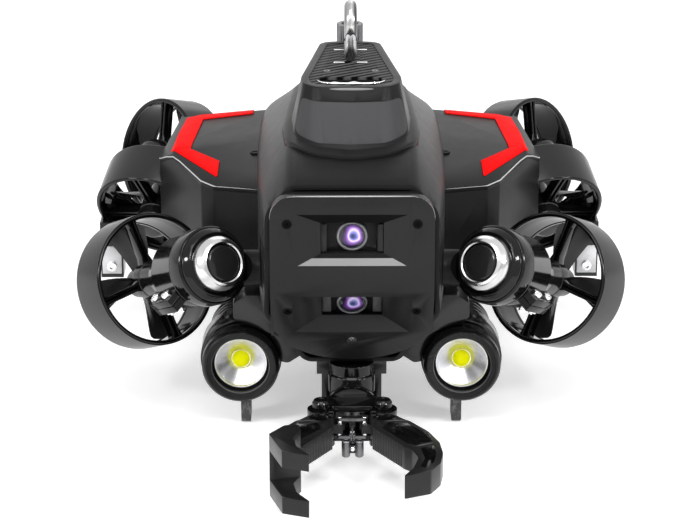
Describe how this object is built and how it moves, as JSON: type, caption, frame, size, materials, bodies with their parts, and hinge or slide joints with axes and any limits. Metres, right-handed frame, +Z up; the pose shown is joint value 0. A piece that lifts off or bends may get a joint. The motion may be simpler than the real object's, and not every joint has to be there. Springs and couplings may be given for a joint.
{
  "type": "underwater inspection vehicle",
  "caption": "Remotely driven underwater camera vehicle with vectored ducted thrusters, lamps, a lifting eye and a two-jaw gripper.",
  "frame": {"origin": "bottom centre of the vehicle's box, on the ground under the landing fins", "axes": "+Z up, the nose and gripper towards -Y, +X to the side of the single-hook jaw"},
  "size_m": [0.3148, 0.4514, 0.2347],
  "materials": {
    "hull_plastic": "satin moulded",
    "faceplate_plastic": "fine satin",
    "panel_plastic": "smooth satin",
    "duct_plastic": "satin moulded",
    "propeller_plastic": "satin moulded",
    "carbon_plate": "twill under clear coat",
    "anodised_black": "satin anodised",
    "chrome": "polished",
    "steel": "turned",
    "light_metal": "satin",
    "reflector": "spun",
    "dark_lens": "polished",
    "clear_glass": "polished",
    "camera_black": "matte",
    "emitter_yellow": "phosphor gel",
    "red_trim": "gloss",
    "inner_plastic": "moulded"
  },
  "bodies": {
    "vehicle": {"hull_upper_shell": "hull_plastic", "hull_lower_shell": "hull_plastic", "nose_faceplate": "faceplate_plastic", "depth_sensor": "steel", "main_camera": "camera_black", "lower_camera": "camera_black", "camera_windows": "clear_glass", "duct_front_right": "duct_plastic", "duct_front_left": "duct_plastic", "duct_mid_right": "duct_plastic", "duct_mid_left": "duct_plastic", "duct_rear_right": "duct_plastic", "duct_rear_left": "duct_plastic", "thruster_motors": "steel", "handle_tower": "hull_plastic", "tower_front_panel": "panel_plastic", "carbon_top_plate": "carbon_plate", "lifting_shackle": "chrome", "tether_connector": "anodised_black", "headlamp_lens_right": "dark_lens", "headlamp_lens_left": "dark_lens", "headlamp_bezel_right": "chrome", "headlamp_bezel_left": "chrome", "headlamp_barrel_right": "anodised_black", "headlamp_barrel_left": "anodised_black", "headlamp_clamp_right": "duct_plastic", "headlamp_clamp_left": "duct_plastic", "clamp_bolts": "steel", "flood_body_right": "anodised_black", "flood_body_left": "anodised_black", "flood_bezel_right": "anodised_black", "flood_bezel_left": "anodised_black", "flood_reflector_right": "reflector", "flood_reflector_left": "reflector", "flood_windows": "clear_glass", "flood_emitters": "emitter_yellow", "flood_bracket_right": "duct_plastic", "flood_bracket_left": "duct_plastic", "landing_fins": "duct_plastic", "gripper_housing": "anodised_black", "gripper_pins": "anodised_black", "gripper_motor": "steel", "gripper_bracket": "duct_plastic", "accent_stripes": "red_trim", "electronics_bay": "inner_plastic", "battery_pack": "inner_plastic", "side_brackets": "duct_plastic", "side_plates": "light_metal", "screws": "steel"},
    "jaw_left": {"jaw_left": "anodised_black"},
    "jaw_right": {"jaw_right": "anodised_black"},
    "push_rod": {"push_rod": "steel"},
    "propeller_front_right": {"propeller_front_right": "propeller_plastic"},
    "propeller_front_left": {"propeller_front_left": "propeller_plastic"},
    "propeller_mid_right": {"propeller_mid_right": "propeller_plastic"},
    "propeller_mid_left": {"propeller_mid_left": "propeller_plastic"},
    "propeller_rear_right": {"propeller_rear_right": "propeller_plastic"},
    "propeller_rear_left": {"propeller_rear_left": "propeller_plastic"}
  },
  "joints": [
    {"name": "front_right_spin", "type": "hinge", "parent": "vehicle", "child": "propeller_front_right", "pos_m": [0.1112, -0.05935, 0.0814], "axis": [0.5411, 0.7447, -0.3907], "continuous": true},
    {"name": "front_left_spin", "type": "hinge", "parent": "vehicle", "child": "propeller_front_left", "pos_m": [-0.1112, -0.05935, 0.0814], "axis": [-0.5411, 0.7447, -0.3907], "continuous": true},
    {"name": "mid_right_spin", "type": "hinge", "parent": "vehicle", "child": "propeller_mid_right", "pos_m": [0.1195, 0.06065, 0.0785], "axis": [-0.2456, 0.7836, 0.5707], "continuous": true},
    {"name": "mid_left_spin", "type": "hinge", "parent": "vehicle", "child": "propeller_mid_left", "pos_m": [-0.1195, 0.06065, 0.0785], "axis": [0.2456, 0.7836, 0.5707], "continuous": true},
    {"name": "rear_right_spin", "type": "hinge", "parent": "vehicle", "child": "propeller_rear_right", "pos_m": [0.126, 0.17965, 0.081], "axis": [-0.7234, 0.64, -0.2588], "continuous": true},
    {"name": "rear_left_spin", "type": "hinge", "parent": "vehicle", "child": "propeller_rear_left", "pos_m": [-0.126, 0.17965, 0.081], "axis": [0.7234, 0.64, -0.2588], "continuous": true},
    {"name": "jaw_left_swing", "type": "hinge", "parent": "vehicle", "child": "jaw_left", "pos_m": [-0.017, -0.14435, 0.026], "axis": [0, 0, 1], "range_deg": [0, 22]},
    {"name": "jaw_right_swing", "type": "hinge", "parent": "vehicle", "child": "jaw_right", "pos_m": [0.017, -0.14435, 0.026], "axis": [0, 0, -1], "range_deg": [0, 22.01]},
    {"name": "push_rod_slide", "type": "slide", "parent": "vehicle", "child": "push_rod", "axis": [0, 1, 0], "range_m": [0, 0.0039]}
  ],
  "couplings": [
    {"joint": "jaw_right_swing", "follows": "jaw_left_swing", "ratio": 1},
    {"joint": "push_rod_slide", "follows": "jaw_left_swing", "m_per_rad": 0.010125}
  ]
}
